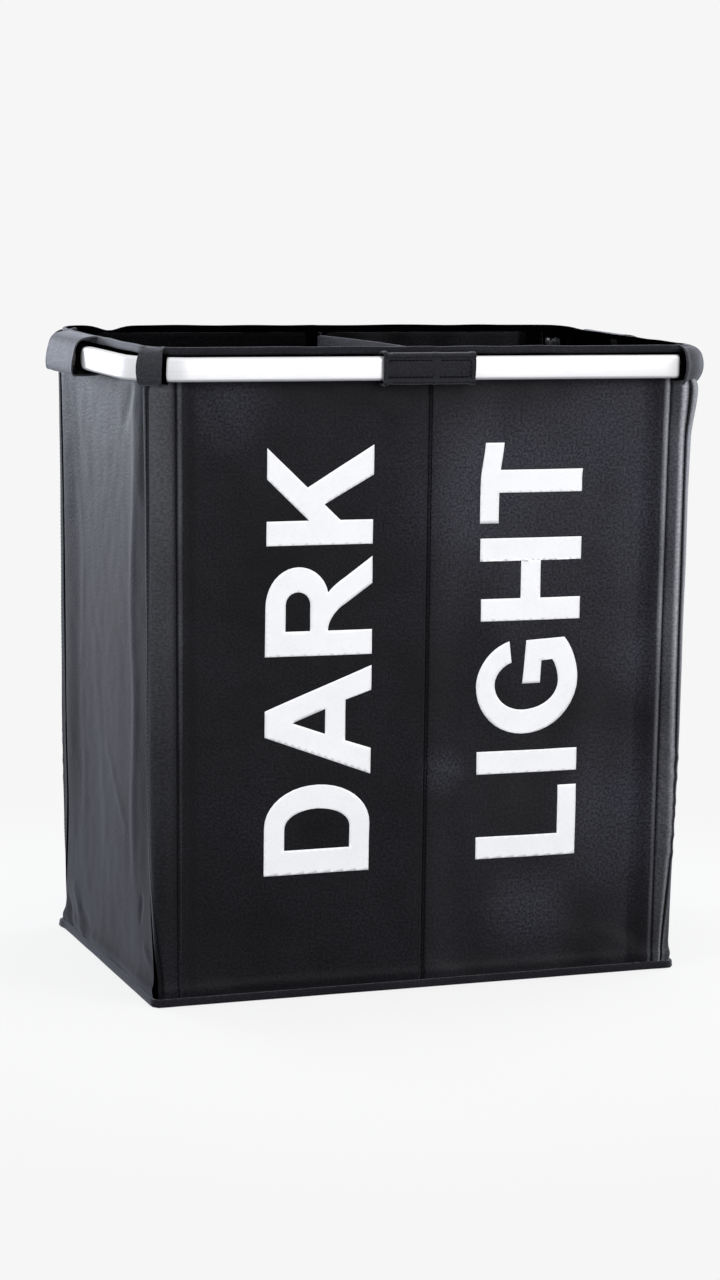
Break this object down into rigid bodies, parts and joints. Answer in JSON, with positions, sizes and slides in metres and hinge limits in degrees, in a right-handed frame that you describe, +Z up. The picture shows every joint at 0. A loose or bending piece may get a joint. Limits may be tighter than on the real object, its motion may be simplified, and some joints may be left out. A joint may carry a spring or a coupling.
{
  "type": "laundry hamper with two bins",
  "caption": "Tall sewn laundry hamper with a divider between two open bins, standing on corner rods, with U-shaped tube handles round the mouth that fold up at centre hinges.",
  "frame": {"origin": "on the floor, in the middle of the footprint", "axes": "+Z up, +X to the right seen from the front, the front faces -Y"},
  "size_m": [0.5888, 0.342, 0.6],
  "materials": {
    "cloth": "black coated woven polyester with a soft sheen",
    "tape": "black folded and stitched cloth",
    "tube": "satin silver",
    "plastic": "moulded, fine grain",
    "steel": "plain drawn steel",
    "board": "dark fibreboard"
  },
  "bodies": {
    "bag": {"base_cloth": "cloth", "front_cloth_left": "cloth", "front_cloth_right": "cloth", "rear_cloth_left": "cloth", "rear_cloth_right": "cloth", "side_cloth_left": "cloth", "side_cloth_right": "cloth", "divider_cloth": "cloth", "front_left_rod_channel": "cloth", "front_right_rod_channel": "cloth", "rear_left_rod_channel": "cloth", "rear_right_rod_channel": "cloth", "base_binding": "tape", "rim_hem": "tape", "divider_hem": "tape", "front_centre_sleeve": "tape", "rear_centre_sleeve": "tape", "front_hinge_link": "plastic", "rear_hinge_link": "plastic", "left_front_hinge_pin": "steel", "right_front_hinge_pin": "steel", "left_rear_hinge_pin": "steel", "right_rear_hinge_pin": "steel"},
    "left_handle": {"left_handle_tube": "tube", "left_side_wrap": "tape", "left_front_corner_loop": "tape", "left_rear_corner_loop": "tape", "left_front_hinge_plug": "plastic", "left_rear_hinge_plug": "plastic"},
    "left_board": {"left_base_board": "board"},
    "right_handle": {"right_handle_tube": "tube", "right_side_wrap": "tape", "right_front_corner_loop": "tape", "right_rear_corner_loop": "tape", "right_front_hinge_plug": "plastic", "right_rear_hinge_plug": "plastic"},
    "right_board": {"right_base_board": "board"},
    "front_left_rod": {"front_left_support_rod": "steel", "front_left_rod_foot_cap": "plastic", "front_left_rod_top_cap": "plastic"},
    "front_right_rod": {"front_right_support_rod": "steel", "front_right_rod_foot_cap": "plastic", "front_right_rod_top_cap": "plastic"},
    "rear_left_rod": {"rear_left_support_rod": "steel", "rear_left_rod_foot_cap": "plastic", "rear_left_rod_top_cap": "plastic"},
    "rear_right_rod": {"rear_right_support_rod": "steel", "rear_right_rod_foot_cap": "plastic", "rear_right_rod_top_cap": "plastic"}
  },
  "joints": [
    {"name": "left_handle_fold", "type": "hinge", "parent": "bag", "child": "left_handle", "pos_m": [-0.018, 0, 0.582], "axis": [0, 1, 0], "range_deg": [0, 90], "deforming": ["front_centre_sleeve", "rear_centre_sleeve"]},
    {"name": "right_handle_fold", "type": "hinge", "parent": "bag", "child": "right_handle", "pos_m": [0.018, 0, 0.582], "axis": [0, -1, 0], "range_deg": [0, 90], "deforming": ["front_centre_sleeve", "rear_centre_sleeve"]},
    {"name": "left_board_lift", "type": "slide", "parent": "bag", "child": "left_board", "axis": [0, 0, 1], "range_m": [0, 0.6]},
    {"name": "right_board_lift", "type": "slide", "parent": "bag", "child": "right_board", "axis": [0, 0, 1], "range_m": [0, 0.6]},
    {"name": "front_left_rod_draw", "type": "slide", "parent": "bag", "child": "front_left_rod", "axis": [0, 0.0215, 0.9998], "range_m": [0, 0.59]},
    {"name": "front_right_rod_draw", "type": "slide", "parent": "bag", "child": "front_right_rod", "axis": [0, 0.0215, 0.9998], "range_m": [0, 0.59]},
    {"name": "rear_left_rod_draw", "type": "slide", "parent": "bag", "child": "rear_left_rod", "axis": [0, -0.0215, 0.9998], "range_m": [0, 0.59]},
    {"name": "rear_right_rod_draw", "type": "slide", "parent": "bag", "child": "rear_right_rod", "axis": [0, -0.0215, 0.9998], "range_m": [0, 0.59]}
  ]
}
